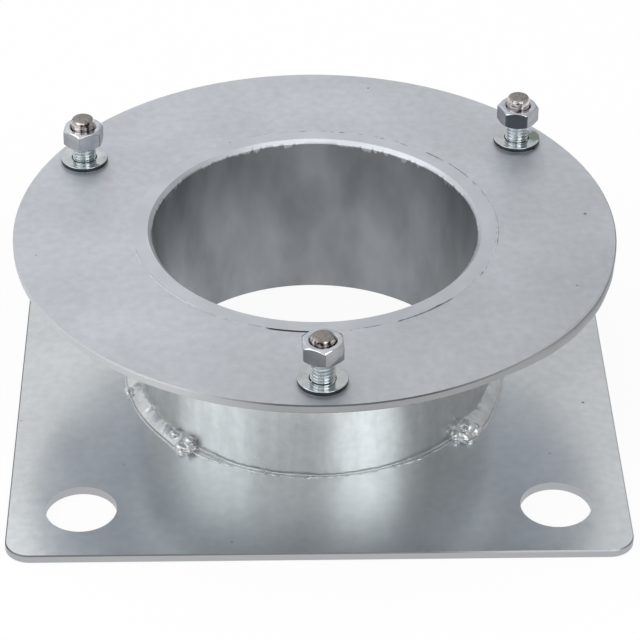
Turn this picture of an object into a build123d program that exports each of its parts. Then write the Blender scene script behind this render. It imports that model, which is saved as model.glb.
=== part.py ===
from build123d import *
import os
from math import cos, hypot, radians, sin, tan

# A welded steel base flange, hot-dip galvanised: a square base plate with four anchor holes,
# a short riser tube, and a round flange whose three studs clamp a mating flange.
# Millimetres. +Z is up, the origin is on the tube's axis at the underside of the base plate.

# ---- driving dimensions ----------------------------------------------------------------------

# base plate
plate_side = 200.0
plate_thickness = 3.0
plate_corner_radius = 8.0
anchor_hole_diameter = 23.0
anchor_edge_distance = 23.5

# riser tube
tube_diameter = 121.0
tube_wall = 6.3
riser_height = 61.0
tube_mouth_bevel = 1.3

# round flange
flange_diameter = 200.0
flange_thickness = 3.0

# slip fit of the tube in the holes cut for it in the plate and the flange, on the radius
tube_slip_clearance = 0.3

# broken edges of the cut plates and of the tube's foot
edge_break = 0.4

# fillet welds: how far the foot's bead reaches over the plate and up the tube, how far its
# crown stands out of a flat face, the lump at the front end of each of the foot's runs and how
# far its middle stands off the tube, and the half angles of the runs on the two sides
base_weld_leg = 4.6
base_weld_rise = 3.6
base_weld_crown = 0.8
weld_lump_height = 2.0
right_lump_radius = 4.3
right_lump_stand_off = 3.0
left_lump_radius = 4.0
left_lump_stand_off = 2.2
flange_weld_leg = 4.0
right_run_half_angle = 42.0
left_run_half_angle = 49.0

# studs, M8, set by hand: none is quite as far from the rim or quite as tall as the next
stud_diameter = 8.0
stud_end_chamfer = 0.9
stud_hole_clearance = 0.25
stud_below_flange = 2.8
stud_weld_leg = 2.4
front_stud_bearing = -89.6
right_stud_bearing = 36.8
left_stud_bearing = 151.6
front_stud_edge_distance = 12.7
right_stud_edge_distance = 11.1
left_stud_edge_distance = 11.1
front_stud_height = 17.5
right_stud_height = 18.0
left_stud_height = 17.1

# plain washers, M8
washer_diameter = 16.0
washer_thickness = 1.6
washer_hole_clearance = 0.2
washer_edge_break = 0.25

# hexagon nuts, M8, each run part of the way down its stud: the clear thread left under it and
# the bearing of one of its corners
nut_across_flats = 13.0
nut_height = 6.3
nut_face_diameter = 11.9
nut_chamfer_angle = 36.0
nut_thread_clearance = 0.08
front_nut_lift = 7.9
right_nut_lift = 6.6
left_nut_lift = 5.8
front_nut_turn = -86.5
right_nut_turn = -68.8
left_nut_turn = -97.5

# ---- sizes that follow -----------------------------------------------------------------------

tube_radius = tube_diameter / 2
bore_radius = tube_radius - tube_wall
tube_hole_radius = tube_radius + tube_slip_clearance
anchor_spacing = plate_side - 2 * anchor_edge_distance
flange_radius = flange_diameter / 2
flange_underside = riser_height - flange_thickness
stud_radius = stud_diameter / 2
stud_hole_radius = stud_radius + stud_hole_clearance
washer_top = riser_height + washer_thickness
nut_face_radius = nut_face_diameter / 2
nut_corner_radius = nut_across_flats / 2 / cos(radians(30)) + nut_thread_clearance
nut_corner_drop = (nut_corner_radius - nut_face_radius) * tan(radians(nut_chamfer_angle))

os.makedirs("parts", exist_ok=True)


def save(piece, name):
    """Label a finished piece and write it as its own STEP file."""
    piece.part.label = name
    export_step(piece.part, f"parts/{name}.step")


def at_bearing(radius, bearing, height):
    """Point at a radius and a bearing about the tube's axis."""
    return (radius * cos(radians(bearing)), radius * sin(radians(bearing)), height)


def upright_plane(origin, bearing):
    """Upright plane whose local X points along the bearing and whose local Y points up."""
    along = at_bearing(1, bearing, 0)
    return Plane(origin=origin, x_dir=along, z_dir=(along[1], -along[0], 0))


def flat_weld_section(wall_radius, plate_height, leg):
    """Outline of a flat-faced fillet weld that hangs in the corner under a flat plate."""
    Polyline(
        (wall_radius, plate_height),
        (wall_radius + leg, plate_height),
        (wall_radius, plate_height - leg),
        close=True,
    )


# ---- base plate ------------------------------------------------------------------------------

with BuildPart() as base_plate:
    with BuildSketch():
        RectangleRounded(plate_side, plate_side, plate_corner_radius)
        Circle(tube_hole_radius, mode=Mode.SUBTRACT)
        with GridLocations(anchor_spacing, anchor_spacing, 2, 2):
            Circle(anchor_hole_diameter / 2, mode=Mode.SUBTRACT)
    extrude(amount=plate_thickness)
    plate_faces = base_plate.faces().sort_by(Axis.Z)
    chamfer(plate_faces[0].outer_wire().edges() + plate_faces[-1].outer_wire().edges(), edge_break)
save(base_plate, "base_plate")

# ---- riser tube ------------------------------------------------------------------------------

with BuildPart() as riser_tube:
    with BuildSketch(Plane.XZ):
        with BuildLine():
            Polyline(
                (bore_radius, edge_break),
                (bore_radius + edge_break, 0),
                (tube_radius, 0),
                (tube_radius, riser_height),
                (bore_radius + tube_mouth_bevel, riser_height),
                (bore_radius, riser_height - tube_mouth_bevel),
                close=True,
            )
        make_face()
    revolve(axis=Axis.Z)
save(riser_tube, "riser_tube")

# ---- round flange ----------------------------------------------------------------------------

stud_places = {
    "front": at_bearing(flange_radius - front_stud_edge_distance, front_stud_bearing, 0),
    "right": at_bearing(flange_radius - right_stud_edge_distance, right_stud_bearing, 0),
    "left": at_bearing(flange_radius - left_stud_edge_distance, left_stud_bearing, 0),
}

with BuildPart() as top_flange:
    with BuildSketch(Plane.XY.offset(flange_underside)):
        Circle(flange_radius)
        Circle(tube_hole_radius, mode=Mode.SUBTRACT)
        with Locations(*stud_places.values()):
            Circle(stud_hole_radius, mode=Mode.SUBTRACT)
    extrude(amount=flange_thickness)
    flange_faces = top_flange.faces().sort_by(Axis.Z)
    chamfer(flange_faces[0].outer_wire().edges() + flange_faces[-1].outer_wire().edges(), edge_break)
save(top_flange, "top_flange")

# ---- weld runs round the tube ----------------------------------------------------------------

# each run covers an arc either side of its middle bearing, and starts with a lump at the front
weld_runs = {
    "right": (0.0, right_run_half_angle, right_lump_radius, right_lump_stand_off),
    "left": (180.0, left_run_half_angle, left_lump_radius, left_lump_stand_off),
}

for side, (middle, half_angle, lump_radius, lump_stand_off) in weld_runs.items():
    run_ends = (middle - half_angle, middle + half_angle)
    front_end = min(run_ends, key=lambda bearing: sin(radians(bearing)))

    with BuildPart() as base_weld:
        with BuildSketch(upright_plane((0, 0, 0), run_ends[0])):
            with BuildLine():
                corner = (tube_radius, plate_thickness)
                plate_toe = (tube_radius + base_weld_leg, plate_thickness)
                wall_toe = (tube_radius, plate_thickness + base_weld_rise)
                crown_share = base_weld_crown / hypot(base_weld_leg, base_weld_rise)
                crown = (
                    tube_radius + base_weld_leg / 2 + crown_share * base_weld_rise,
                    plate_thickness + base_weld_rise / 2 + crown_share * base_weld_leg,
                )
                Line(corner, plate_toe)
                ThreePointArc(plate_toe, crown, wall_toe)
                Line(wall_toe, corner)
            make_face()
        revolve(axis=Axis.Z, revolution_arc=2 * half_angle)
        lump_middle = plate_thickness + weld_lump_height
        with Locations(at_bearing(tube_radius + lump_stand_off, front_end, lump_middle)):
            Sphere(lump_radius)
        with BuildSketch():
            Circle(tube_radius)
        extrude(amount=riser_height, mode=Mode.SUBTRACT)
        with BuildSketch():
            Circle(flange_radius)
        extrude(amount=plate_thickness, mode=Mode.SUBTRACT)
    save(base_weld, f"base_weld_{side}")

    with BuildPart() as flange_weld:
        with BuildSketch(upright_plane((0, 0, 0), run_ends[0])):
            with BuildLine():
                flat_weld_section(tube_radius, flange_underside, flange_weld_leg)
            make_face()
        revolve(axis=Axis.Z, revolution_arc=2 * half_angle)
    save(flange_weld, f"flange_weld_{side}")

# ---- studs with their welds, washers and nuts ------------------------------------------------

stud_heights = {"front": front_stud_height, "right": right_stud_height, "left": left_stud_height}
nut_lifts = {"front": front_nut_lift, "right": right_nut_lift, "left": left_nut_lift}
nut_turns = {"front": front_nut_turn, "right": right_nut_turn, "left": left_nut_turn}

for side, (across, along, _) in stud_places.items():
    stud_foot = (across, along, flange_underside - stud_below_flange)
    weld_seat = (across, along, flange_underside)
    washer_seat = (across, along, riser_height)
    nut_seat = (across, along, washer_top + nut_lifts[side])
    nut_plane = Plane(origin=nut_seat, x_dir=at_bearing(1, nut_turns[side], 0), z_dir=(0, 0, 1))

    with BuildPart() as stud:
        with BuildSketch(Plane(stud_foot)):
            Circle(stud_radius)
        extrude(amount=stud_below_flange + flange_thickness + stud_heights[side])
        chamfer(stud.edges().filter_by(GeomType.CIRCLE).sort_by(Axis.Z)[-1], stud_end_chamfer)
    save(stud, f"stud_{side}")

    with BuildPart() as stud_weld:
        with BuildSketch(upright_plane(weld_seat, 0)):
            with BuildLine():
                flat_weld_section(stud_radius, 0, stud_weld_leg)
            make_face()
        revolve(axis=Axis(weld_seat, (0, 0, 1)))
    save(stud_weld, f"stud_weld_{side}")

    with BuildPart() as washer:
        with BuildSketch(Plane(washer_seat)):
            Circle(washer_diameter / 2)
            Circle(stud_radius + washer_hole_clearance, mode=Mode.SUBTRACT)
        extrude(amount=washer_thickness)
        chamfer(washer.faces().sort_by(Axis.Z)[-1].outer_wire().edges(), washer_edge_break)
    save(washer, f"washer_{side}")

    with BuildPart() as nut:
        with BuildSketch(nut_plane):
            RegularPolygon(nut_across_flats / 2, side_count=6, major_radius=False)
            Circle(stud_radius + nut_thread_clearance, mode=Mode.SUBTRACT)
        extrude(amount=nut_height)
        with BuildSketch(upright_plane(nut_seat, 0)):
            with BuildLine():
                Polyline(
                    (0, 0),
                    (nut_face_radius, 0),
                    (nut_corner_radius, nut_corner_drop),
                    (nut_corner_radius, nut_height - nut_corner_drop),
                    (nut_face_radius, nut_height),
                    (0, nut_height),
                    close=True,
                )
            make_face()
        revolve(axis=Axis(nut_seat, (0, 0, 1)), mode=Mode.INTERSECT)
    save(nut, f"nut_{side}")
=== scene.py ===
import math

import bmesh
import bpy
from mathutils import Matrix, Vector, noise


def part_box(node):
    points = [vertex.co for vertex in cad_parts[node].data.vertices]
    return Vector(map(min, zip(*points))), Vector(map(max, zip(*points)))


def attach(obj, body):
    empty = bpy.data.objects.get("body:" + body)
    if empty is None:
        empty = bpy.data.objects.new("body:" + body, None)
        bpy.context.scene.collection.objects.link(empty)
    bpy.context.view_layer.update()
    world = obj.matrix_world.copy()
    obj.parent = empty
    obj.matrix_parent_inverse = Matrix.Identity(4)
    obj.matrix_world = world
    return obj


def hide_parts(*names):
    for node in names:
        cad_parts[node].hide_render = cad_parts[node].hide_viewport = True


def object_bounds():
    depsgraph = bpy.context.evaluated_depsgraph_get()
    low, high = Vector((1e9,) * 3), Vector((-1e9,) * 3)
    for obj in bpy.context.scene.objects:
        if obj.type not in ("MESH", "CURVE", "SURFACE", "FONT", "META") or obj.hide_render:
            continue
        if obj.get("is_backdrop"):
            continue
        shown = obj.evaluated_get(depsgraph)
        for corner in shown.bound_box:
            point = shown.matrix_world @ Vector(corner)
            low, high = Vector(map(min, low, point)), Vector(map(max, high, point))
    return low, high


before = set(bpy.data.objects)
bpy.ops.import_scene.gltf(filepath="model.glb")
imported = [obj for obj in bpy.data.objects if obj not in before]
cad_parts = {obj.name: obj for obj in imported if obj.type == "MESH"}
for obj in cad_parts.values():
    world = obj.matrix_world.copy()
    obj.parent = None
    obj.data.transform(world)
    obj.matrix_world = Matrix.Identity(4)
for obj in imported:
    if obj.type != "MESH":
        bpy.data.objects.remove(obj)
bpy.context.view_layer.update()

# A hot-dip galvanised steel base flange: square plate, short riser tube, round flange with three
# threaded studs. Everything is in metres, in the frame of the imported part, so sizes that are
# written in millimetres are multiplied by MM.

MM = 0.001

bpy.ops.object.select_all(action="DESELECT")

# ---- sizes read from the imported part

plate_low, plate_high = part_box("base_plate")
flange_low, flange_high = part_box("top_flange")

plate_top = plate_high.z
flange_top = flange_high.z
flange_underside = flange_low.z
flange_radius = flange_high.x
tube_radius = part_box("riser_tube")[1].x
bore_radius = min(v.co.xy.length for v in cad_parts["riser_tube"].data.vertices)

sides = ("front", "right", "left")
stud_boxes = {side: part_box(f"stud_{side}") for side in sides}
washer_boxes = {side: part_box(f"washer_{side}") for side in sides}
nut_boxes = {side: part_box(f"nut_{side}") for side in sides}


def seat_of(box):
    """Centre of a fastener's lower face."""
    low, high = box
    return Vector(((low.x + high.x) / 2, (low.y + high.y) / 2, low.z))


def middle_of(box):
    """Centre of a box."""
    return (box[0] + box[1]) / 2


def bearing_of(point):
    """Bearing about the tube's axis, in degrees from +X."""
    return math.degrees(math.atan2(point.y, point.x))


def at_bearing(radius, bearing, height):
    """Point at a radius and bearing about the tube's axis."""
    angle = math.radians(bearing)
    return Vector((radius * math.cos(angle), radius * math.sin(angle), height))


def towards(bearing, elevation):
    """Unit vector that points along a bearing and an elevation, in degrees."""
    rise = math.radians(elevation)
    return at_bearing(math.cos(rise), bearing, math.sin(rise))


# ---- shop tools

def keep_as(name):
    """Names the object that was just added, and fixes its place in its mesh."""
    piece = bpy.context.active_object
    piece.name = piece.data.name = name
    bpy.ops.object.transform_apply(location=True, rotation=True, scale=True)
    return piece


def upright_bar(name, corners, radius, depth, middle, turn=0.0):
    """A bar along the Z axis with this many corners, its middle at a height."""
    bpy.ops.mesh.primitive_cylinder_add(vertices=corners, radius=radius, depth=depth,
                                        location=(0, 0, middle),
                                        rotation=(0, 0, math.radians(turn)))
    return keep_as(name)


def take(piece):
    """Makes one piece the only selected and active one."""
    bpy.ops.object.select_all(action="DESELECT")
    piece.select_set(True)
    bpy.context.view_layer.objects.active = piece


def open_mesh(piece, kind="FACE"):
    """Goes into edit mode on a piece, in vertex, edge or face mode, with nothing selected."""
    take(piece)
    bpy.ops.object.mode_set(mode="EDIT")
    bpy.ops.mesh.select_mode(type=kind)
    bpy.ops.mesh.select_all(action="DESELECT")


def pick(piece, kind, rule):
    """In edit mode, selects the vertices, edges or faces that the rule accepts and no others."""
    bpy.ops.mesh.select_all(action="DESELECT")
    mesh = bmesh.from_edit_mesh(piece.data)
    for item in getattr(mesh, kind):
        if rule(item):
            item.select_set(True)
    bmesh.update_edit_mesh(piece.data)


def draw_out(rise, scale, middle=0.0):
    """Extrudes the picked face upwards and widens or narrows it about the Z axis."""
    bpy.ops.mesh.extrude_region_move(TRANSFORM_OT_translate={"value": (0, 0, rise)})
    bpy.ops.transform.resize(value=(scale, scale, 1), center_override=(0, 0, middle))


def close_mesh():
    """Merges doubles, turns the faces outwards and leaves edit mode."""
    bpy.ops.mesh.select_all(action="SELECT")
    bpy.ops.mesh.remove_doubles(threshold=0.002 * MM)
    bpy.ops.mesh.normals_make_consistent(inside=False)
    bpy.ops.object.mode_set(mode="OBJECT")


def finish_with(piece, kind, **settings):
    """Adds a modifier with its settings and applies it."""
    take(piece)
    modifier = piece.modifiers.new(kind.title(), kind)
    for setting, value in settings.items():
        setattr(modifier, setting, value)
    bpy.ops.object.modifier_apply(modifier=modifier.name)


def cut_with(piece, tool, operation):
    """Boolean of a piece with a tool piece, which is then thrown away."""
    finish_with(piece, "BOOLEAN", object=tool, operation=operation, solver="EXACT")
    bpy.data.objects.remove(tool)


def smooth(piece, angle=35):
    """Smooth shading with edges sharper than the angle kept crisp."""
    take(piece)
    bpy.ops.object.shade_smooth_by_angle(angle=math.radians(angle))


def set_down(piece, seat, turn=0.0):
    """Turns a piece that stands on the origin about its own axis and sets it on a seat."""
    piece.location = seat
    piece.rotation_euler.z = math.radians(turn)
    take(piece)
    bpy.ops.object.transform_apply(location=True, rotation=True, scale=True)


def copy_to(piece, name, seat, turn=0.0):
    """A copy of a piece with its own mesh, turned about its own axis and set on a seat."""
    duplicate = piece.copy()
    duplicate.data = piece.data.copy()
    duplicate.name = duplicate.data.name = name
    bpy.context.scene.collection.objects.link(duplicate)
    set_down(duplicate, seat, turn)
    return duplicate


def dress(piece, finish, replaced=()):
    """Gives a new piece its finish and its place on the body."""
    piece.data.materials.clear()
    piece.data.materials.append(finish)
    if replaced:
        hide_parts(*replaced)
    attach(piece, "root")


# ---- materials

def linear(code):
    """Linear colour of an sRGB hex value such as "#c0c4c9"."""
    channels = [int(code[i:i + 2], 16) / 255 for i in (1, 3, 5)]
    return tuple(c / 12.92 if c <= 0.04045 else ((c + 0.055) / 1.055) ** 2.4
                 for c in channels) + (1.0,)


def add_node(tree, kind, inputs, give=0, **settings):
    """Adds a node with its settings and what goes into it, and returns one of its outputs. A
    colour goes in as its sRGB hex value."""
    node = tree.nodes.new("ShaderNode" + kind)
    for setting, value in settings.items():
        setattr(node, setting, value)
    for socket, value in inputs.items():
        if isinstance(value, bpy.types.NodeSocket):
            tree.links.new(value, node.inputs[socket])
        else:
            node.inputs[socket].default_value = linear(value) if isinstance(value, str) else value
    return node.outputs[give]


# the colour sockets of a Mix node, which shares socket names, and what makes it mix colours
MIX_A, MIX_B = 6, 7
OF_COLOURS = {"give": 2, "data_type": "RGBA"}
# a MapRange that falls from 1 to 0
FALLING = {"To Min": 1.0, "To Max": 0.0}


def new_finish(name):
    """A plain node material, with its node tree and its shader."""
    finish = bpy.data.materials.new(name)
    finish.use_nodes = True
    return finish, finish.node_tree, finish.node_tree.nodes["Principled BSDF"]


def coat(tree, shader, tone, roughness):
    """Puts a tone and a roughness on a shader."""
    tree.links.new(tone, shader.inputs["Base Color"])
    tree.links.new(roughness, shader.inputs["Roughness"])


def per_metre(millimetres):
    """Texture scale at which one feature is this many millimetres across."""
    return 1.0 / (millimetres * MM)


def upward_part(tree):
    """1 where the surface looks up, 0 where it is upright and -1 where it looks down."""
    normal = add_node(tree, "TexCoord", {}, "Normal")
    return add_node(tree, "SeparateXYZ", {"Vector": normal}, "Z")


def flatness(tree):
    """1 on faces that lie flat, whether they look up or down, and 0 on upright ones."""
    return add_node(tree, "Math", {0: upward_part(tree)}, operation="ABSOLUTE")


def off_axis(tree, place):
    """A place's offset from the tube's axis, and how long that is."""
    across = add_node(tree, "VectorMath", {0: place, 1: (1, 1, 0)}, operation="MULTIPLY")
    return across, add_node(tree, "VectorMath", {0: across}, "Value", operation="LENGTH")


# the slow waves of the zinc's skin, and the cells of its ash pits, with the smallest and the
# largest pit radius as shares of a cell
skin_wave_mm = 11.0
pit_grid_mm = 7.0
small_pit, large_pit = 0.03, 0.085


def ash_pits(tree, place, kept_share):
    """Scattered round pits: one at most in each cell of a grid, and only in the kept share of the
    cells. 1 in a pit, 0 outside."""
    cells = add_node(tree, "TexVoronoi", {"Vector": place, "Scale": per_metre(pit_grid_mm)})
    lot = add_node(tree, "SeparateColor", {"Color": cells.node.outputs["Color"]})
    kept = add_node(tree, "Math", {0: lot, 1: 1 - kept_share}, operation="GREATER_THAN")
    size = add_node(tree, "MapRange", {
        "Value": lot.node.outputs["Green"], "To Min": small_pit, "To Max": large_pit})
    depth = add_node(tree, "Math", {0: size, 1: cells}, operation="SUBTRACT")
    rim_painted_shade = add_node(tree, "MapRange", {
        "Value": depth, "From Min": -0.02, "From Max": 0.03}, interpolation_type="SMOOTHSTEP")
    return add_node(tree, "Math", {0: rim_painted_shade, 1: kept}, operation="MULTIPLY")


def hot_dip_zinc(name, light, dark, gloss, cloud_mm, frost_mm, relief_mm, pit_share=0.09):
    """Zinc left by the hot-dip bath: soft clouds over the steel's grain, a fine frosting of
    crystals, ash pits, and a skin that ran and set slightly wavy."""
    finish, tree, shader = new_finish(name)
    place = add_node(tree, "TexCoord", {}, "Object")
    clouds, frost, waviness = (
        add_node(tree, "TexNoise", {"Vector": place, "Scale": per_metre(mm), "Detail": detail})
        for mm, detail in ((cloud_mm, 3.0), (frost_mm, 4.0), (skin_wave_mm, 2.0)))
    pits = ash_pits(tree, place, pit_share)

    share = add_node(tree, "MapRange", {"Value": clouds, "From Min": 0.34, "From Max": 0.66})
    tone = add_node(tree, "Mix", {0: share, MIX_A: dark, MIX_B: light}, **OF_COLOURS)
    frosting = add_node(tree, "MapRange", {
        "Value": frost, "From Min": 0.3, "From Max": 0.7, "To Min": 0.94, "To Max": 1.04})
    tone = add_node(tree, "VectorMath", {0: tone, "Scale": frosting}, operation="SCALE")
    tone = add_node(tree, "Mix", {0: pits, MIX_A: tone, MIX_B: "#7b7f82"}, **OF_COLOURS)

    height = add_node(tree, "Math", {0: frost, 1: 0.25, 2: waviness}, operation="MULTIPLY_ADD")
    height = add_node(tree, "Math", {0: pits, 1: -1.0, 2: height}, operation="MULTIPLY_ADD")
    relief = add_node(tree, "Bump", {"Height": height, "Distance": relief_mm * MM})
    roughness = add_node(tree, "MapRange", {
        "Value": clouds, "From Min": 0.3, "From Max": 0.7, "To Min": gloss[0], "To Max": gloss[1]})
    coat(tree, shader, tone, roughness)
    tree.links.new(relief, shader.inputs["Normal"])
    shader.inputs["Metallic"].default_value = 1.0
    return finish, tree, shader, place, tone, roughness


# what is added to the roughness on a cut edge, in the tube's bore and on its mouth, on a washer's
# torn rim, in its stain, and on a stud's sawn end
edge_rougher, bore_rougher, torn_rougher, stain_rougher, sawn_rougher = 0.16, 0.20, 0.22, 0.3, 0.28

# how far from the middle the painted light gradient starts and ends changing; and along X, over
# how far a cut edge's painted shade sets in, and where its painted dark line starts and ends fading
gradient_from, gradient_to = 5 * MM, 80 * MM
edge_shade_width = 28 * MM
line_fades_from, line_fades_to = 35 * MM, 60 * MM


def painted_light_gradient(tree, place, way, last):
    """A painted light gradient that a tone is multiplied by: 1 in the middle, and last at its far
    end.
    """
    along = add_node(tree, "VectorMath", {0: place, 1: way}, "Value", operation="DOT_PRODUCT")
    return add_node(tree, "MapRange", {
        "Value": along, "From Min": gradient_from, "From Max": gradient_to, "To Min": 1.0,
        "To Max": last})


def galvanised_plate_finish(name, light, dark, gloss, edge_shade_from, gradient_way, gradient_end_tone):
    """Sheared and cut plate, dipped: clear flat faces, and painted shade on the cut edges, which
    are
    also rougher: upright edges painted darker and a painted dark line on the broken edge, but for
    what lies to the left of where that shade starts. The flat faces carry a painted light gradient."""
    finish, tree, shader, place, tone, roughness = hot_dip_zinc(
        name, light, dark, gloss, 34.0, 3.2, 0.02)
    flat = flatness(tree)
    # painted shade on the cut edges: upright faces painted darker and a painted dark line on the
    # broken edge, both left light to the left of where the shade starts, the line lighter again far
    # to the right
    cut_edge = add_node(tree, "MapRange", {
        "Value": flat, "From Min": 0.8, "From Max": 0.95, **FALLING})
    broken_edge = add_node(tree, "MapRange", {"Value": flat, "From Min": 0.3, "From Max": 0.6})
    across = add_node(tree, "SeparateXYZ", {"Vector": place})
    edge_shade_share = add_node(tree, "MapRange", {
        "Value": across, "From Min": edge_shade_from, "From Max": edge_shade_from + edge_shade_width})
    painted_edge_face_tone = add_node(tree, "Mix", {
        0: edge_shade_share, MIX_A: "#d2d5d8", MIX_B: "#b0b2b6"}, **OF_COLOURS)
    soft_share = add_node(tree, "MapRange", {
        "Value": across, "From Min": line_fades_from, "From Max": line_fades_to})
    painted_edge_line_tone = add_node(tree, "Mix", {
        0: soft_share, MIX_A: "#6c7073", MIX_B: "#a4a7aa"}, **OF_COLOURS)
    painted_edge_line_tone = add_node(tree, "Mix", {
        0: edge_shade_share, MIX_A: "#cdd0d3", MIX_B: painted_edge_line_tone}, **OF_COLOURS)
    cut_tone = add_node(tree, "Mix", {
        0: broken_edge, MIX_A: painted_edge_face_tone, MIX_B: painted_edge_line_tone}, **OF_COLOURS)
    # painted light gradient on the flat faces
    light_gradient = painted_light_gradient(tree, place, gradient_way, gradient_end_tone)
    tone = add_node(tree, "VectorMath", {0: tone, "Scale": light_gradient}, operation="SCALE")
    tone = add_node(tree, "Mix", {0: cut_edge, MIX_A: tone, MIX_B: cut_tone}, **OF_COLOURS)
    roughness = add_node(tree, "Math", {
        0: cut_edge, 1: edge_rougher, 2: roughness}, operation="MULTIPLY_ADD")
    coat(tree, shader, tone, roughness)
    return finish


# down from the tube's top: where the mouth's own skin ends, where it has its full tone, and where
# the bore's painted shade starts; how much lower the longest drip of zinc hangs; and how far out
# from the bore's wall its painted shade starts and ends fading
mouth_foot, mouth_full, bore_start = 1.5 * MM, 1.3 * MM, 0.7 * MM
longest_drip = 2.6 * MM
bore_fades_from, bore_fades_to = 0.4 * MM, 1.0 * MM


def galvanised_tube_finish(mouth_light, mouth_dark, mouth_gradient_way, mouth_gradient_end_tone):
    """Tube dipped on end: zinc ran down the outside in streaks. The bore is painted darker, as
    painted shade of its shadowed inside, and is rougher. The mouth drained with the flange round
    it, and has the flange's skin with its painted light gradient."""
    finish, tree, shader, place, tone, roughness = hot_dip_zinc(
        "galvanised_tube", "#cfd2d2", "#bec1c1", (0.26, 0.34), 22.0, 2.6, 0.02, 0.05)
    long_runs = add_node(tree, "Mapping", {"Vector": place, "Scale": (1, 1, 0.22)})
    streaks = add_node(tree, "TexNoise", {
        "Vector": long_runs, "Scale": per_metre(4.5), "Detail": 3.0})
    streaks = add_node(tree, "MapRange", {
        "Value": streaks, "From Min": 0.38, "From Max": 0.62, "To Min": 0.92, "To Max": 1.03})
    tone = add_node(tree, "VectorMath", {0: tone, "Scale": streaks}, operation="SCALE")

    # the bore is what lies nearer the axis than the wall's inner face, below a bright mouth from
    # which the zinc hangs in ragged drips here and there; the bore below them carries the painted
    # shade
    radius = off_axis(tree, place)[1]
    inside = add_node(tree, "MapRange", {
        "Value": radius, "From Min": bore_radius + bore_fades_from,
        "From Max": bore_radius + bore_fades_to, **FALLING})
    height = add_node(tree, "SeparateXYZ", {"Vector": place}, "Z")
    short_runs = add_node(tree, "Mapping", {"Vector": place, "Scale": (1, 1, 0.15)})
    drips = add_node(tree, "TexNoise", {
        "Vector": short_runs, "Scale": per_metre(1.8), "Detail": 1.0})
    drips = add_node(tree, "MapRange", {
        "Value": drips, "From Min": 0.38, "From Max": 0.75, "To Max": longest_drip})
    hung = add_node(tree, "TexNoise", {
        "Vector": short_runs, "Scale": per_metre(13.0), "Detail": 1.0})
    hung = add_node(tree, "MapRange", {"Value": hung, "From Min": 0.44, "From Max": 0.6})
    ragged = add_node(tree, "Math", {0: hung, 1: drips, 2: height}, operation="MULTIPLY_ADD")
    below_mouth = add_node(tree, "MapRange", {
        "Value": ragged, "From Min": flange_top - mouth_foot, "From Max": flange_top - bore_start,
        **FALLING})
    bore = add_node(tree, "Math", {0: inside, 1: below_mouth}, operation="MULTIPLY")
    upright = add_node(tree, "Mapping", {"Vector": place, "Scale": (1, 1, 0.45)})
    blotches = add_node(tree, "TexNoise", {
        "Vector": upright, "Scale": per_metre(17.0), "Detail": 3.0})
    blotches = add_node(tree, "MapRange", {"Value": blotches, "From Min": 0.36, "From Max": 0.66})
    # painted shade of the bore, in upright blotches
    bore_shade_tone = add_node(tree, "Mix", {0: blotches, MIX_A: "#84888c", MIX_B: "#9fa2a7"}, **OF_COLOURS)
    skin = add_node(tree, "Mix", {0: blotches, MIX_A: mouth_dark, MIX_B: mouth_light}, **OF_COLOURS)
    # the mouth carries the flange's painted light gradient
    light_gradient = painted_light_gradient(tree, place, mouth_gradient_way, mouth_gradient_end_tone)
    skin = add_node(tree, "VectorMath", {0: skin, "Scale": light_gradient}, operation="SCALE")
    mouth = add_node(tree, "MapRange", {
        "Value": height, "From Min": flange_top - mouth_foot, "From Max": flange_top - mouth_full})
    tone = add_node(tree, "Mix", {0: mouth, MIX_A: tone, MIX_B: skin}, **OF_COLOURS)
    tone = add_node(tree, "Mix", {0: bore, MIX_A: tone, MIX_B: bore_shade_tone}, **OF_COLOURS)
    duller = add_node(tree, "Math", {0: bore, 1: mouth}, operation="MAXIMUM")
    roughness = add_node(tree, "Math", {
        0: duller, 1: bore_rougher, 2: roughness}, operation="MULTIPLY_ADD")
    coat(tree, shader, tone, roughness)
    return finish


# how far the stain's ragged edge reaches at the most, over what it fades, and how strong it is
stain_reach, stain_fade, stain_depth = 5.0 * MM, 1.6 * MM, 0.85


def punched_washer_finish():
    """Bright zinc plate on a washer: mirror-like flat faces, a rim painted near black as painted
    shade and rougher where the punch tore it, and a damp stain on the right one."""
    finish, tree, shader, place, tone, roughness = hot_dip_zinc(
        "punched_washer", "#d3d8da", "#bdc3c6", (0.05, 0.10), 5.0, 0.8, 0.003, 0.0)
    flat = flatness(tree)
    # painted shade: the upright rim is painted near black
    rim_painted_shade = add_node(tree, "MapRange", {"Value": flat, "From Min": 0.25, "From Max": 0.6, **FALLING})
    tone = add_node(tree, "Mix", {0: rim_painted_shade, MIX_A: tone, MIX_B: "#3b4144"}, **OF_COLOURS)
    roughness = add_node(tree, "Math", {
        0: rim_painted_shade, 1: torn_rougher, 2: roughness}, operation="MULTIPLY_ADD")

    far = add_node(tree, "VectorMath", {0: place, 1: stain_centre}, "Value", operation="DISTANCE")
    mottle = add_node(tree, "TexNoise", {"Vector": place, "Scale": per_metre(1.6), "Detail": 3.0})
    reach = add_node(tree, "Math", {0: mottle, 1: -stain_reach, 2: far}, operation="MULTIPLY_ADD")
    stain = add_node(tree, "MapRange", {
        "Value": reach, "From Max": stain_fade, "To Min": stain_depth, "To Max": 0.0})
    tone = add_node(tree, "Mix", {0: stain, MIX_A: tone, MIX_B: "#7d8578"}, **OF_COLOURS)
    roughness = add_node(tree, "Math", {
        0: stain, 1: stain_rougher, 2: roughness}, operation="MULTIPLY_ADD")
    coat(tree, shader, tone, roughness)
    return finish


# a distance from a nut's middle that takes in that nut alone, and how deep below a flat the painted
# dark patch starts and is at full strength
nut_reach = 9 * MM
dark_flat_from, dark_flat_to = 0.45 * MM, 0.25 * MM


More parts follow.
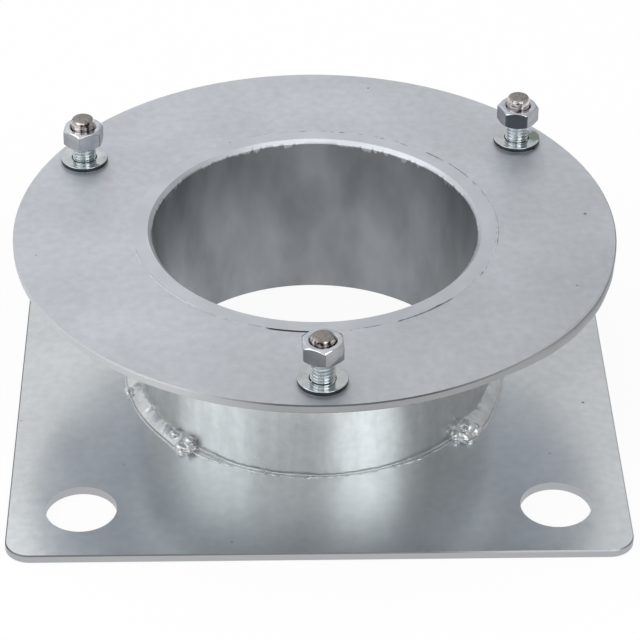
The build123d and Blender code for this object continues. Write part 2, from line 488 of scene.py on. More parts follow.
def nut_zinc_finish():
    """Bright zinc plate on a nut: the flats painted darker than the turned ends as painted shade,
    and the listed flats painted dark grey as painted reflection of the dark surroundings they face."""
    finish, tree, shader, place, tone, _ = hot_dip_zinc(
        "bright_zinc_plate", "#dde0e5", "#b9bdc4", (0.06, 0.12), 7.0, 0.9, 0.004, 0.0)
    flat = flatness(tree)
    # painted shade: the upright flats are darker than the ends
    flats_painted_darker = add_node(tree, "MapRange", {
        "Value": flat, "From Min": 0.15, "From Max": 0.4, "To Min": 0.52})
    tone = add_node(tree, "VectorMath", {0: tone, "Scale": flats_painted_darker}, operation="SCALE")
    on_flat = add_node(tree, "MapRange", {
        "Value": flat, "From Min": 0.2, "From Max": 0.5, **FALLING})
    # painted reflection: the listed flats are painted dark grey
    for side, bearing, darkness in painted_dark_flats:
        outward = at_bearing(1.0, bearing, 0)
        centre = middle_of(nut_boxes[side])
        flat_face = centre.dot(outward) + nut_across_flats / 2
        reach = add_node(tree, "VectorMath", {0: place, 1: outward}, "Value",
                         operation="DOT_PRODUCT")
        dark_flat = add_node(tree, "MapRange", {
            "Value": reach, "From Min": flat_face - dark_flat_from, "From Max": flat_face - dark_flat_to,
            "To Max": darkness})
        far = add_node(tree, "VectorMath", {0: place, 1: centre}, "Value", operation="DISTANCE")
        this_nut = add_node(tree, "Math", {0: far, 1: nut_reach}, operation="LESS_THAN")
        dark_flat = add_node(tree, "Math", {0: dark_flat, 1: this_nut}, operation="MULTIPLY")
        dark_flat = add_node(tree, "Math", {0: dark_flat, 1: on_flat}, operation="MULTIPLY")
        tone = add_node(tree, "Mix", {0: dark_flat, MIX_A: tone, MIX_B: "#454d50"}, **OF_COLOURS)
    tree.links.new(tone, shader.inputs["Base Color"])
    return finish


# the saw's marks are too fine to show, so they are drawn coarser than they are
saw_grit_mm = 0.6


def stud_steel_finish():
    """Threaded stud: bright zinc on the thread low down, and above the nut warm grey-brown bare
    steel, painted in dark and light streaks along the stud as painted reflection; dullest on the
    sawn end."""
    finish, tree, shader, place, tone, roughness = hot_dip_zinc(
        "stud_steel", "#dadfe1", "#c3c9cc", (0.10, 0.18), 3.0, 0.8, 0.004, 0.0)
    height = add_node(tree, "SeparateXYZ", {"Vector": place}, "Z")
    # the bare steel's warm tarnish, with dark and light streaks along the stud as painted
    # reflection
    lengthwise = add_node(tree, "Mapping", {"Vector": place, "Scale": (1, 1, 0.1)})
    tarnish_and_reflection_streaks = add_node(tree, "TexNoise", {
        "Vector": lengthwise, "Scale": per_metre(1.7), "Detail": 1.0})
    tarnish_and_reflection_streaks = add_node(tree, "MapRange", {"Value": tarnish_and_reflection_streaks, "From Min": 0.36, "From Max": 0.56})
    bare_tone = add_node(tree, "Mix", {
        0: tarnish_and_reflection_streaks, MIX_A: "#3c3536", MIX_B: "#d8d0cf"}, **OF_COLOURS)
    grit = add_node(tree, "TexNoise", {
        "Vector": place, "Scale": per_metre(saw_grit_mm), "Detail": 2.0})
    grit = add_node(tree, "MapRange", {"Value": grit, "From Min": 0.35, "From Max": 0.65})
    end_tone = add_node(tree, "Mix", {0: grit, MIX_A: "#837d7a", MIX_B: "#a9a4a1"}, **OF_COLOURS)
    bare = add_node(tree, "MapRange", {
        "Value": height, "From Min": bare_from, "From Max": bare_from + 1.2 * MM})
    sawn = add_node(tree, "MapRange", {
        "Value": upward_part(tree), "From Min": 0.62, "From Max": 0.9})
    sawn_tone = add_node(tree, "Mix", {0: sawn, MIX_A: bare_tone, MIX_B: end_tone}, **OF_COLOURS)
    tone = add_node(tree, "Mix", {0: bare, MIX_A: tone, MIX_B: sawn_tone}, **OF_COLOURS)
    sawn_bare = add_node(tree, "Math", {0: sawn, 1: bare}, operation="MULTIPLY")
    roughness = add_node(tree, "Math", {
        0: sawn_bare, 1: sawn_rougher, 2: roughness}, operation="MULTIPLY_ADD")
    coat(tree, shader, tone, roughness)
    return finish


nut_across_flats = 12.6 * MM
# the flats painted dark grey as painted reflection: the bearing that each faces, and how dark it is
painted_dark_flats = (("right", -98.8, 0.85), ("front", -116.5, 0.55))
# the stain lies on the outer side of the right washer, and the bare steel starts inside the nuts
stain_centre = seat_of(washer_boxes["right"]) + Vector((5.6, 0.4, 1.6)) * MM
bare_from = nut_boxes["left"][1].z - 2.0 * MM

# painted shade on the cut edges: all round the plate, and on the flange from here to the right
plate_edge_shade_from, flange_edge_shade_from = plate_low.x - 30 * MM, -42 * MM

# painted light gradient: the plate is painted lighter towards the front, the flange and the tube's
# mouth darker towards the front right
galvanised_plate = galvanised_plate_finish(
    "galvanised_plate", "#d9dde0", "#ced2d5", (0.20, 0.27), plate_edge_shade_from, (0.2, -0.98, 0),
    1.15)
flange_light, flange_dark = "#d9dde3", "#cfd3d9"
flange_gradient_way, flange_gradient_end_tone = (0.55, -0.83, 0), 0.87
galvanised_flange = galvanised_plate_finish(
    "galvanised_flange", flange_light, flange_dark, (0.46, 0.54), flange_edge_shade_from,
    flange_gradient_way, flange_gradient_end_tone)
galvanised_tube = galvanised_tube_finish(
    flange_light, flange_dark, flange_gradient_way, flange_gradient_end_tone)
galvanised_weld = hot_dip_zinc(
    "galvanised_weld", "#e4e7e8", "#ccd0d2", (0.24, 0.38), 7.0, 1.1, 0.04)[0]
bright_zinc_plate = nut_zinc_finish()
punched_washer = punched_washer_finish()
stud_steel = stud_steel_finish()

# the bearings between which the joint round the tube's mouth stayed open, how far out from the
# tube its painted shade lies, and how far either side of there that shade starts and ends fading
joint_open_from, joint_open_to = -106.0, -91.0
gap_shade_stand_off, gap_shade_fades_from, gap_shade_fades_to = 0.45 * MM, 0.25 * MM, 0.55 * MM


def paint_open_joint_shade(finish):
    """Painted shade of the open gap, dark on the flange's lip of the slip joint where the zinc did
    not close it.
    """
    tree = finish.node_tree
    shader = tree.nodes["Principled BSDF"]
    tone = shader.inputs["Base Color"].links[0].from_socket
    across, radius = off_axis(tree, add_node(tree, "TexCoord", {}, "Object"))
    off_joint = add_node(tree, "Math", {
        0: radius, 1: tube_radius + gap_shade_stand_off}, operation="SUBTRACT")
    off_joint = add_node(tree, "Math", {0: off_joint}, operation="ABSOLUTE")
    lip = add_node(tree, "MapRange", {
        "Value": off_joint, "From Min": gap_shade_fades_from, "From Max": gap_shade_fades_to, **FALLING})
    middle = at_bearing(1.0, (joint_open_from + joint_open_to) / 2, 0)
    half_span = math.radians(joint_open_to - joint_open_from) / 2
    way = add_node(tree, "VectorMath", {0: across}, operation="NORMALIZE")
    facing = add_node(tree, "VectorMath", {0: way, 1: middle}, "Value", operation="DOT_PRODUCT")
    open_part = add_node(tree, "MapRange", {
        "Value": facing, "From Min": math.cos(half_span), "From Max": math.cos(half_span * 0.8)})
    # painted shade of the open gap on the flange's lip
    gap_shade = add_node(tree, "Math", {0: lip, 1: open_part}, operation="MULTIPLY")
    tone = add_node(tree, "Mix", {0: gap_shade, MIX_A: tone, MIX_B: "#383d40"}, **OF_COLOURS)
    tree.links.new(tone, shader.inputs["Base Color"])


paint_open_joint_shade(galvanised_flange)


def refinish(node, finish):
    """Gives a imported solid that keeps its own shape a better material."""
    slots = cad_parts[node].data.materials
    slots.clear()
    slots.append(finish)


refinish("base_plate", galvanised_plate)
refinish("top_flange", galvanised_flange)
refinish("riser_tube", galvanised_tube)

# ---- welds and zinc that ran into the corners

# degrees that a sweep turns in one step, the grain that a bead is built of, and over how many
# degrees it dies away at both ends, to which share of its size
sweep_step = 0.5
bead_grain = 0.22 * MM
run_out, run_out_share = 2.4, 0.35


def wander(along, feature_mm, lane):
    """Smooth random value of about -0.5 to 0.5 for a distance along a joint."""
    return noise.noise(Vector((along / (feature_mm * MM), 7.3 * lane, 0.0)))


def ease(share):
    """Smooth step from 0 to 1 as the share goes from 0 to 1."""
    share = max(0.0, min(1.0, share))
    return share * share * (3 - 2 * share)


def swept_round(name, outline, start, stop):
    """A closed outline of (radius, height) points, swept round the tube's axis between two
    bearings. It is left open in edit mode, all selected."""
    bpy.ops.mesh.primitive_circle_add(
        vertices=len(outline), radius=tube_radius, location=(0, 0, 0))
    sweep = keep_as(name)
    open_mesh(sweep, "VERT")
    mesh = bmesh.from_edit_mesh(sweep.data)
    for vertex, (radius, height) in zip(mesh.verts, outline):
        vertex.co = at_bearing(radius, start, height)
    bmesh.update_edit_mesh(sweep.data)
    bpy.ops.mesh.select_all(action="SELECT")
    bpy.ops.mesh.edge_face_add()
    bpy.ops.mesh.spin(steps=round(abs(stop - start) / sweep_step),
                      angle=math.radians(start - stop), center=(0, 0, 0), axis=(0, 0, 1))
    return sweep


def set_hard(sweep):
    """Closes a swept piece whose points were moved, and smooths it."""
    bmesh.update_edit_mesh(sweep.data)
    close_mesh()
    smooth(sweep, 60)
    return sweep


# outline of a fillet weld as shares of its reach out from the wall and of its rise up it: a
# rolled toe on the plate, a groove behind the roll, a full face, and a feathered toe on the
# wall. The last points are sunk in the metal, where nothing shows.
weld_outline = ((1.0, 0.0), (1.0, 0.12), (0.97, 0.20), (0.92, 0.22), (0.87, 0.18), (0.83, 0.10),
                (0.79, 0.12), (0.74, 0.24), (0.62, 0.42), (0.49, 0.56), (0.36, 0.69), (0.24, 0.80),
                (0.13, 0.89), (0.05, 0.96), (0.0, 1.0), (-0.14, 1.0), (-0.14, 0.5), (-0.14, -0.1),
                (0.4, -0.1), (1.0, -0.1))

# the ripples along a weld, which bow by a share of their pitch and rise by a share of the weld's
# size, and the crust on its lumps
ripple_pitch = 1.9 * MM
ripple_bow, ripple_rise = 0.8, 0.010
crust_mm = 0.25


def weld_bead(name, start, stop, seat, way, reach, rise, lane, swell=(0, 0, 1), ragged=0.5,
              lumps=(), pits=()):
    """A fillet weld round the tube between two bearings, standing on the plate (way 1) or hanging
    under the flange (way -1). Swell is how much its reach and its rise grow towards the start,
    and over how many degrees. Lumps and crater pits lie where the arc was struck and broken."""
    outline = [(tube_radius + out * reach, seat + way * up * rise) for out, up in weld_outline]
    bead = swept_round(name, outline, start, stop)
    mesh = bmesh.from_edit_mesh(bead.data)
    for vertex in mesh.verts:
        out = vertex.co.xy.length - tube_radius
        up = (vertex.co.z - seat) * way
        if out <= 0 and up <= 0:
            continue
        bearing = bearing_of(vertex.co)
        along = math.radians(bearing) * tube_radius
        lean = math.atan2(max(up, 0) / rise, max(out, 0) / reach) / (math.pi / 2)
        plate_toe = 1 + 0.05 * wander(along, 9, lane) + 0.03 * wander(along, 2.4, lane + 1)
        wall_toe = 0.9 + ragged * (0.9 * wander(along, 6, lane + 2)
                                   + 0.5 * wander(along, 1.9, lane + 3))
        bow = ripple_pitch * ripple_bow * (1 - (2 * lean - 1) ** 2)
        ripple = ripple_rise * math.sin(2 * math.pi * (along + bow) / ripple_pitch)
        from_start = abs((bearing - start + 180) % 360 - 180)
        to_end = min(from_start, abs((bearing - stop + 180) % 360 - 180))
        fullness = math.sqrt(1 - (1 - min(to_end, run_out) / run_out) ** 2)
        end = run_out_share + (1 - run_out_share) * fullness
        near_start = ease(1 - from_start / swell[2])
        if out > 0:
            out *= (plate_toe + ripple) * end * (1 + swell[0] * near_start)
        if up > 0:
            toe = plate_toe * (1 - lean) + wall_toe * lean
            up *= (toe + ripple) * end * (1 + swell[1] * near_start)
        vertex.co.xy *= (tube_radius + out) / vertex.co.xy.length
        vertex.co.z = seat + way * up
    bmesh.update_edit_mesh(bead.data)
    close_mesh()
    parts = [bead]
    for bearing, out, up, radius, stretch in lumps:
        bpy.ops.mesh.primitive_uv_sphere_add(segments=48, ring_count=32, radius=radius * MM)
        lump = bpy.context.active_object
        lump.scale = (1.0, stretch, 0.9)
        lump.rotation_euler.z = math.radians(bearing)
        lump.location = at_bearing(tube_radius + out * MM, bearing, seat + way * up * MM)
        lump = keep_as("weld_lump")
        for vertex in lump.data.vertices:
            crust = noise.noise(vertex.co / (2.0 * MM)) + 0.2 * noise.noise(vertex.co / (0.8 * MM))
            vertex.co += vertex.normal * crust * crust_mm * MM
        parts.append(lump)
    take(bead)
    for part in parts:
        part.select_set(True)
    bpy.ops.object.join()
    finish_with(bead, "REMESH", mode="VOXEL", voxel_size=bead_grain)
    for bearing, out, up, radius, depth in pits:
        centre = at_bearing(tube_radius + out * MM, bearing, seat + way * up * MM)
        for vertex in bead.data.vertices:
            near = 1 - ((vertex.co - centre).length / (radius * MM)) ** 2
            if near > 0:
                vertex.co -= vertex.normal * depth * MM * near
    finish_with(bead, "SMOOTH", factor=0.5, iterations=3)
    smooth(bead, 60)
    return bead


def run_ends(node):
    """Front and back bearings of a weld run. Its front end may carry a lump, so the back end,
    which is bare, gives both: the runs lie evenly about the X axis."""
    bearings = [bearing_of(v.co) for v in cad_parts[node].data.vertices if v.co.y > 0]
    back = max(bearings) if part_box(node)[1].x > 0 else min(bearings)
    return -back, back


foot_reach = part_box("base_weld_right")[1].x - tube_radius
# the foot's welds climb less than they reach out
foot_rise = 0.62 * foot_reach
collar_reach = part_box("flange_weld_right")[1].x - tube_radius

# lumps: bearing, then out from the wall, up from the plate and radius in millimetres, and how
# far each is drawn out along the joint. Pits: the same, with a depth.
foot_lumps = {
    "left": ((-139.6, 1.4, 2.2, 1.6, 1.3), (-134.6, 3.4, 1.0, 2.0, 1.2),
             (-133.2, 1.0, 3.0, 1.8, 1.1), (-167.6, 4.2, 0.5, 1.6, 1.6)),
    "right": ((-41.6, 1.0, 1.2, 2.0, 1.1), (-37.0, 2.6, 2.4, 2.7, 1.1),
              (-35.4, 4.6, 0.8, 2.4, 1.2)),
}
foot_pits = {
    "left": ((-130.9, 1.8, 2.2, 1.7, 1.3), (-137.0, 2.2, 3.4, 0.9, 0.5)),
    "right": ((-39.4, 2.6, 3.4, 1.5, 1.2), (-35.4, 4.6, 3.0, 1.2, 0.9)),
}
# how much each run grows towards its start in reach and in rise, over how many degrees, and how
# ragged its toe on the wall is
foot_swell = {"left": (0.2, 0.3, 14), "right": (0.55, 0.7, 27)}
foot_ragged = {"left": 0.55, "right": 0.35}

for lane, side in enumerate(("left", "right")):
    # bearings jump at 180 degrees, in the middle of the left runs
    lap = 360 if side == "left" else 0
    front, back = run_ends(f"base_weld_{side}")
    bead = weld_bead(
        f"foot_weld_{side}", front, back - lap, plate_top, 1, foot_reach, foot_rise, 10 * lane,
        foot_swell[side], foot_ragged[side], foot_lumps[side], foot_pits[side])
    dress(bead, galvanised_weld, [f"base_weld_{side}"])
    front, back = run_ends(f"flange_weld_{side}")
    bead = weld_bead(f"collar_weld_{side}", front, back - lap, flange_underside, -1, collar_reach,
                     collar_reach, 10 * lane + 5)
    dress(bead, galvanised_weld, [f"flange_weld_{side}"])

# the zinc that filled the corner at the tube's foot between the welds: a low fillet with a
# rolled toe, which grows towards the welds
zinc_outline = ((1.0, 0.0), (1.03, 0.12), (1.0, 0.24), (0.93, 0.28), (0.84, 0.22), (0.72, 0.13),
                (0.5, 0.10), (0.3, 0.11), (0.14, 0.16), (0.04, 0.27), (-0.1, 0.42), (-0.5, 0.42),
                (-0.5, -0.2), (1.0, -0.2))
# how much its outline is drawn out in the middle and raised at the most, and over how many
# degrees it grows towards its start and its stop
middle_reach, most_rise = 1.1, 1.3
start_growth_span, stop_growth_span = 24, 30


def foot_zinc(name, start, stop, left_growth, right_growth, lane):
    """A zinc fillet at the foot between two bearings. The growths are what it gains on its middle
    reach towards its two ends."""
    outline = [(tube_radius + out * MM, plate_top + up * MM) for out, up in zinc_outline]
    fillet = swept_round(name, outline, start, stop)
    mesh = bmesh.from_edit_mesh(fillet.data)
    for vertex in mesh.verts:
        out = vertex.co.xy.length - tube_radius
        up = vertex.co.z - plate_top
        bearing = bearing_of(vertex.co)
        along = math.radians(bearing) * tube_radius
        growth = (left_growth * ease(1 - abs(bearing - start) / start_growth_span)
                  + right_growth * ease(1 - abs(bearing - stop) / stop_growth_span))
        reach = (middle_reach + growth + 0.5 * wander(along, 7, lane)
                 + 0.35 * wander(along, 1.6, lane + 1))
        vertex.co.xy *= (tube_radius + out * reach) / vertex.co.xy.length
        vertex.co.z = plate_top + up * min(
            reach, most_rise + 0.4 * wander(along, 2.2, lane + 2))
    return set_hard(fillet)


left_front, left_back = run_ends("base_weld_left")
right_front, right_back = run_ends("base_weld_right")
for name, start, stop, growths, lane in (
        ("foot_zinc_front", left_front - 1, right_front + 1, (0.9, 0.6), 31),
        ("foot_zinc_back", left_back + 1, right_back - 1, (0.8, 0.8), 37)):
    dress(foot_zinc(name, start, stop, *growths, lane), galvanised_weld)

# the zinc that closed the slip joint between the flange and the tube's mouth: a fine ridge that
# sinks below the faces in places, and that left the joint open in front of the front stud
joint_inner, joint_outer = tube_radius - 0.25 * MM, tube_radius + 0.65 * MM
joint_depth = 1.2 * MM
# where the ridge stands higher or lower: the bearing, over how many degrees it fades to both
# sides, and the height in millimetres
ridge_swells = ((-130, 16, 0.4), (-54, 11, 0.2), (34, 10, -0.5), (-72, 9, -0.3))
# where it lies nearly flush: the bearing, how far that reaches to both sides and over what it
# fades, in degrees, and the share of its height that it loses
flush_bearing, flush_reach, flush_fade, flush_loss = 145, 64, 40, 0.85
ridge_sunk_mm = 0.03


def joint_zinc():
    """The ridge of zinc in the joint round the tube's mouth."""
    points = 8
    outline = [(joint_inner + (joint_outer - joint_inner) * i / points, flange_top)
               for i in range(points + 1)]
    outline += [(joint_outer, flange_top - joint_depth), (joint_inner, flange_top - joint_depth)]
    ridge = swept_round("joint_zinc", outline, joint_open_to, joint_open_from + 360)
    mesh = bmesh.from_edit_mesh(ridge.data)
    for vertex in mesh.verts:
        if vertex.co.z < flange_top - joint_depth / 2:
            continue
        bearing = bearing_of(vertex.co)
        along = math.radians(bearing) * tube_radius
        across = (vertex.co.xy.length - joint_inner) / (joint_outer - joint_inner)
        crest = 0.10 + 0.35 * wander(along, 9, 41) + 0.25 * wander(along, 2.0, 42)
        flush = ease((flush_reach - abs(bearing % 360 - flush_bearing)) / flush_fade)
        crest *= 1 - flush_loss * flush
        crest += sum(rise * ease(1 - abs(bearing - at) / fade) for at, fade, rise in ridge_swells)
        vertex.co.z += (crest * math.sin(math.pi * across) - ridge_sunk_mm) * MM
    return set_hard(ridge)


dress(joint_zinc(), galvanised_flange)

# the bead of zinc that gathered on the flange's rim at the front right, where it hung lowest
rim_bead_from, rim_bead_to = -54.0, -7.0
rim_bead_reach, rim_bead_sag = 1.0 * MM, 1.3 * MM
# how far in from the rim the bead is rooted and where it dies away, and how far its root lies
# below the flange's top
rim_root, rim_end, rim_root_drop = 0.6 * MM, 0.45 * MM, 0.05 * MM


def rim_zinc():
    """A crescent of zinc on the flange's rim, which stands out and sags most near its middle."""
    points = 10
    middle, half = (flange_top + flange_underside) / 2, (flange_top - flange_underside) / 2
    turns = [math.pi * (i / points - 0.5) for i in range(points + 1)]
    outline = [(flange_radius + rim_bead_reach * math.cos(turn), middle + half * math.sin(turn))
               for turn in turns]
    outline += [(flange_radius - rim_root, flange_top - rim_root_drop),
                (flange_radius - rim_root, flange_underside)]
    bead = swept_round("rim_zinc", outline, rim_bead_from, rim_bead_to)
    mesh = bmesh.from_edit_mesh(bead.data)
    for vertex in mesh.verts:
        bearing = bearing_of(vertex.co)
        along = math.radians(bearing) * flange_radius
        share = (bearing - rim_bead_from) / (rim_bead_to - rim_bead_from)
        growth = max(0.0, math.sin(math.pi * share)) * (1 + 0.2 * wander(along, 9, 51))
        out = vertex.co.xy.length - flange_radius
        drop = (flange_top - vertex.co.z) / (flange_top - flange_underside)
        if out > -rim_root / 2:
            grown = flange_radius - rim_end + (out + rim_end) * growth
            vertex.co.xy *= grown / vertex.co.xy.length
        vertex.co.z -= rim_bead_sag * growth * drop
    return set_hard(bead)


dress(rim_zinc(), galvanised_flange)

# ---- studs

thread_pitch = 1.25 * MM
thread_root_radius = 3.5 * MM
thread_steps = 40
# rings of the rounded end: what each rises over the one below it, and its radius
stud_end_rings = ((0.95 * MM, 3.5 * MM), (0.35 * MM, 2.95 * MM), (0.12 * MM, 2.2 * MM))
# over its last millimetres the thread is worn and full of zinc, to this share of its depth, which
# sets in over worn_fade
worn_length, worn_depth, worn_fade = 7.5 * MM, 0.08, 2 * MM

stud_low, stud_high = stud_boxes["front"]
stud_radius = (stud_high.x - stud_low.x) / 2


def rounded_end(height):
    """Radius of a stud at a height above the foot of its rounded end."""
    below = stud_radius
    for rise, radius in stud_end_rings:
        if height < rise:
            return below + (radius - below) * max(height, 0.0) / rise
        height -= rise
        below = radius
    return below


def threaded_stud(name, stud_length):
    """A stud threaded over its whole length, standing on the origin, with a rounded end."""
    bpy.ops.mesh.primitive_circle_add(vertices=6, radius=thread_pitch, location=(0, 0, 0))
    stud = keep_as(name)
    open_mesh(stud, "EDGE")
    pick(stud, "edges", lambda edge: {v.index for v in edge.verts} == {0, 5})
    bpy.ops.mesh.delete(type="EDGE")
    # one pitch of the thread's outline: half a root, a flank, the crest, a flank, half a root.
    # The zinc lies thick in the roots and flattens the crests.
    outline = ((thread_root_radius, 0), (thread_root_radius, 2 / 16), (stud_radius, 5 / 16),
               (stud_radius, 11 / 16), (thread_root_radius, 14 / 16), (thread_root_radius, 1))
    mesh = bmesh.from_edit_mesh(stud.data)
    mesh.verts.ensure_lookup_table()
    for vertex, (radius, share) in zip(mesh.verts, outline):
        vertex.co = (radius, 0, (share - 2) * thread_pitch)
    bmesh.update_edit_mesh(stud.data)
    bpy.ops.object.mode_set(mode="OBJECT")
    turns = math.ceil(stud_length / thread_pitch) + 3
    finish_with(stud, "SCREW", axis="Z", screw_offset=thread_pitch, iterations=turns,
                steps=thread_steps, render_steps=thread_steps, use_merge_vertices=False)
    open_mesh(stud, "EDGE")
    bpy.ops.mesh.select_all(action="SELECT")
    bpy.ops.mesh.remove_doubles(threshold=0.01 * MM)
    for past_end in (lambda z: z < 0, lambda z: z > stud_length):
        pick(stud, "edges", lambda edge: edge.is_boundary and past_end(edge.verts[0].co.z))
        bpy.ops.mesh.edge_face_add()
    close_mesh()

    # the plain rod, cut to length and rounded at its end, that the thread was rolled on
    rod_length = stud_length - sum(rise for rise, _ in stud_end_rings)
    rod = upright_bar("stud_rod", 80, stud_radius, rod_length, rod_length / 2)
    open_mesh(rod)
    pick(rod, "faces", lambda face: face.normal.z > 0.9)
    below = stud_radius
    for rise, radius in stud_end_rings:
        draw_out(rise, radius / below)
        below = radius
    close_mesh()
    cut_with(stud, rod, "INTERSECT")
    for vertex in stud.data.vertices:
        radius = vertex.co.xy.length
        if radius > thread_root_radius * 0.97:
            worn = ease((vertex.co.z - stud_length + worn_length) / worn_fade) * (1 - worn_depth)
            full = rounded_end(vertex.co.z - rod_length)
            vertex.co.xy *= (radius + (full - radius) * worn) / radius
    open_mesh(stud)
    close_mesh()
    smooth(stud, 35)
    return stud


# ---- washers

washer_low, washer_high = washer_boxes["front"]
washer_radius = (washer_high.x - washer_low.x) / 2
washer_thickness = washer_high.z - washer_low.z
washer_hole_radius = 4.2 * MM
punched_edge = 0.28 * MM


def plain_washer():
    """A punched washer lying on the origin, its edges rounded by the punch."""
    washer = upright_bar("washer_pattern", 96, washer_radius, washer_thickness,
                         washer_thickness / 2)
    open_mesh(washer)
    pick(washer, "faces", lambda face: abs(face.normal.z) > 0.9)
    bpy.ops.mesh.inset(thickness=washer_radius - washer_hole_radius)
    bpy.ops.mesh.delete(type="FACE")
    open_rim = washer_hole_radius * 1.1
    bpy.ops.mesh.select_mode(type="EDGE")
    pick(washer, "edges", lambda edge: edge.is_boundary and edge.verts[0].co.xy.length < open_rim)
    bpy.ops.mesh.bridge_edge_loops()
    close_mesh()
    finish_with(washer, "BEVEL", width=punched_edge, segments=3, limit_method="ANGLE",
                angle_limit=math.radians(50))
    smooth(washer, 30)
    finish_with(washer, "WEIGHTED_NORMAL", keep_sharp=True)
    return washer


# ---- nuts

nut_face_radius = 5.95 * MM
nut_chamfer_angle = 36.0
nut_bore_radius = 4.08 * MM
nut_countersink = 0.55 * MM
nut_edge_wear = 0.12 * MM
nut_corner_round = 0.35 * MM
blank_oversize = 0.3 * MM

nut_low, nut_high = nut_boxes["front"]
nut_height = nut_high.z - nut_low.z
nut_corner_radius = nut_across_flats / 2 / math.cos(math.radians(30))


def hexagon_nut():
    """A nut standing on the origin, one corner on +X, with both ends chamfered and countersunk."""
    nut = upright_bar("nut_pattern", 6, nut_corner_radius, nut_height, nut_height / 2, 30)
    open_mesh(nut, "EDGE")
    pick(nut, "edges", lambda edge: abs(edge.verts[0].co.z - edge.verts[1].co.z) > nut_height / 2)
    bpy.ops.mesh.bevel(offset=nut_corner_round, segments=3)
    close_mesh()

    # the turned blank that takes the corners off both ends
    blank_radius = nut_corner_radius + blank_oversize
    drop = (blank_radius - nut_face_radius) * math.tan(math.radians(nut_chamfer_angle))
    blank = upright_bar("nut_blank", 96, blank_radius, nut_height - 2 * drop, nut_height / 2)
    open_mesh(blank)
    for way in (1, -1):
        pick(blank, "faces", lambda face: face.normal.z * way > 0.9)
        draw_out(way * drop, nut_face_radius / blank_radius, nut_height / 2 + way * nut_height / 2)
    close_mesh()
    cut_with(nut, blank, "INTERSECT")

    # the tap drill with its countersinks
    drill = upright_bar("tap_drill", 72, nut_bore_radius, nut_height - 2 * nut_countersink,
                        nut_height / 2)
    open_mesh(drill)
    flare = 1 + 2 * nut_countersink / nut_bore_radius
    for way in (1, -1):
        pick(drill, "faces", lambda face: face.normal.z * way > 0.9)
        draw_out(way * 2 * nut_countersink, flare, nut_height / 2)
    close_mesh()
    cut_with(nut, drill, "DIFFERENCE")
    open_mesh(nut)
    close_mesh()
    finish_with(nut, "BEVEL", width=nut_edge_wear, segments=2, limit_method="ANGLE",
                angle_limit=math.radians(24))
    smooth(nut, 28)
    finish_with(nut, "WEIGHTED_NORMAL", keep_sharp=True)
    return nut


def nut_turn(side):
    """Bearing of one corner of a nut about its own axis, in degrees."""
    centre = middle_of(nut_boxes[side])
    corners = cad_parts[f"nut_{side}"].data.vertices
    furthest = max(corners, key=lambda v: round((v.co.xy - centre.xy).length, 6))
    return bearing_of(furthest.co - centre)


washer_pattern = plain_washer()
nut_pattern = hexagon_nut()

for turn, side in enumerate(sides):
    refinish(f"stud_weld_{side}", galvanised_weld)
    low, high = stud_boxes[side]
    stud = threaded_stud(f"threaded_stud_{side}", high.z - low.z)
    set_down(stud, seat_of(stud_boxes[side]), 70 * turn)
    dress(stud, stud_steel, [f"stud_{side}"])
    washer = copy_to(washer_pattern, f"plain_washer_{side}", seat_of(washer_boxes[side]))
    dress(washer, punched_washer, [f"washer_{side}"])
    nut = copy_to(nut_pattern, f"hexagon_nut_{side}", seat_of(nut_boxes[side]), nut_turn(side))
    dress(nut, bright_zinc_plate, [f"nut_{side}"])

for pattern in (washer_pattern, nut_pattern):
    bpy.data.objects.remove(pattern)

# ---- floor, light and camera

bpy.ops.mesh.primitive_plane_add(size=6.0, location=(0, 0, 0))
floor = keep_as("studio_floor")
floor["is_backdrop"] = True

# a pale floor that the eye and a reflection see as nearly white, and that still takes a shadow
floor_white_share, floor_glow = 0.88, 1.03
paper, tree, shader = new_finish("pale_paper")
shader.inputs["Base Color"].default_value = linear("#e6e6e6")
shader.inputs["Roughness"].default_value = 0.9
rays = add_node(tree, "LightPath", {}).node
seen = add_node(tree, "Math", {
    0: rays.outputs["Is Camera Ray"], 1: rays.outputs["Is Glossy Ray"]}, operation="MAXIMUM")
seen = add_node(tree, "Math", {
    0: seen, 1: rays.outputs["Is Transmission Ray"]}, operation="MAXIMUM")
white_share = add_node(tree, "Math", {0: seen, 1: floor_white_share}, operation="MULTIPLY")
glow = add_node(tree, "Emission", {"Color": (1, 1, 1, 1), "Strength": floor_glow})
surface = add_node(tree, "MixShader", {0: white_share, 1: shader.outputs["BSDF"], 2: glow})
tree.links.new(surface, tree.nodes["Material Output"].inputs["Surface"])
floor.data.materials.append(paper)

# the room is lighter to the left of the part than to the right of it, and has a small dark gap in
# front, below the front soft boxes
light_way = at_bearing(1.0, 180, 0.25).normalized()
gap_way = at_bearing(0.95, -99, 0.31)
world = bpy.data.worlds.new("studio")
bpy.context.scene.world = world
world.use_nodes = True
tree = world.node_tree
direction = add_node(tree, "TexCoord", {}, "Generated")
towards_light = add_node(tree, "VectorMath", {0: direction, 1: light_way}, "Value",
                         operation="DOT_PRODUCT")
level = add_node(tree, "MapRange", {
    "Value": towards_light, "From Min": -0.8, "From Max": 0.45, "To Min": 0.45, "To Max": 0.80},
    interpolation_type="SMOOTHSTEP")
towards_gap = add_node(tree, "VectorMath", {0: direction, 1: gap_way}, "Value",
                       operation="DOT_PRODUCT")
gap = add_node(tree, "MapRange", {
    "Value": towards_gap, "From Min": 0.94, "From Max": 0.975, "To Min": 1.0, "To Max": 0.06},
    interpolation_type="SMOOTHSTEP")
strength = add_node(tree, "Math", {0: level, 1: gap}, operation="MULTIPLY")
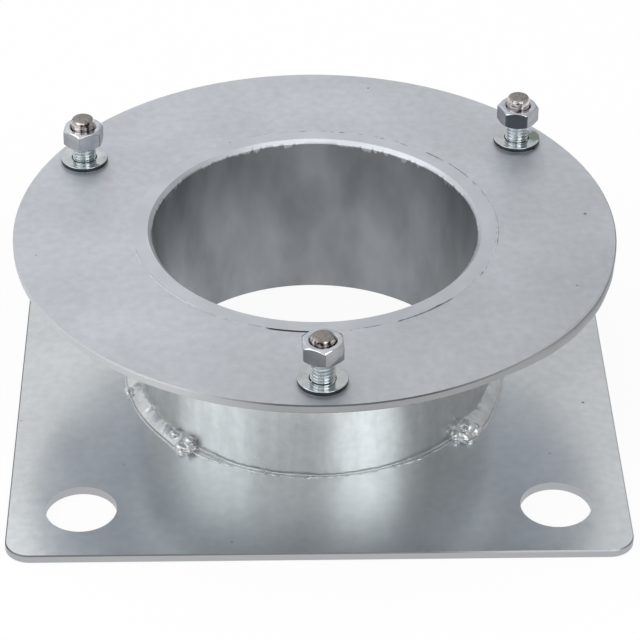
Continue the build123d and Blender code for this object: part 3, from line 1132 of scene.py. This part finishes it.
tree.links.new(strength, tree.nodes["Background"].inputs["Strength"])
tree.nodes["Background"].inputs["Color"].default_value = (1, 1, 1, 1)


def soft_box(name, bearing, elevation, distance, size, radiance):
    """A square soft box aimed at the part; radiance is what a mirror would see in it."""
    middle = Vector((0, 0, 40 * MM))
    lamp = bpy.data.lights.new(name, "AREA")
    lamp.shape = "SQUARE"
    lamp.size = size
    lamp.energy = radiance * math.pi * size * size
    holder = bpy.data.objects.new(name, lamp)
    bpy.context.scene.collection.objects.link(holder)
    out = towards(bearing, elevation)
    holder.location = middle + out * distance
    holder.rotation_euler = out.to_track_quat("Z", "Y").to_euler()


soft_box("left_soft_box", -158, 44, 1.6, 1.2, 1.12)
soft_box("right_soft_box", -57, 44, 1.6, 0.9, 1.95)
soft_box("front_soft_box", -108, 44, 1.8, 0.94, 0.5)
soft_box("back_soft_box", 120, 50, 1.8, 1.4, 0.15)

view_bearing = -90 - 1.3647
view_elevation = 35.0209
view_roll = 0.3847
view_distance = 994.32 * MM
view_target = Vector((0, 0, 23.0 * MM))
view_aim_right = 1.9315 * MM
view_aim_up = -0.0793 * MM
view_lens = 164.63



def level_axes(back):
    """Right and up of a level view, from the way that its back points."""
    right = Vector((0, 0, 1)).cross(back).normalized()
    return right, back.cross(right)


back = towards(view_bearing, view_elevation)
right, up = level_axes(back)
eye = view_target + back * view_distance
aim = view_target + right * view_aim_right + up * view_aim_up
back = (eye - aim).normalized()
right, up = level_axes(back)
roll = math.radians(view_roll)
right, up = (right * math.cos(roll) + up * math.sin(roll),
             up * math.cos(roll) - right * math.sin(roll))

camera_data = bpy.data.cameras.new("camera")
camera_data.lens = view_lens
camera_data.clip_start = 0.05
camera_data.clip_end = 20.0
camera = bpy.data.objects.new("camera", camera_data)
bpy.context.scene.collection.objects.link(camera)
camera.matrix_world = Matrix.Translation(eye) @ Matrix((right, up, back)).transposed().to_4x4()
bpy.context.scene.camera = camera
bpy.context.scene.view_settings.view_transform = "Standard"

# ---- the object's bounds

low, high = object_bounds()
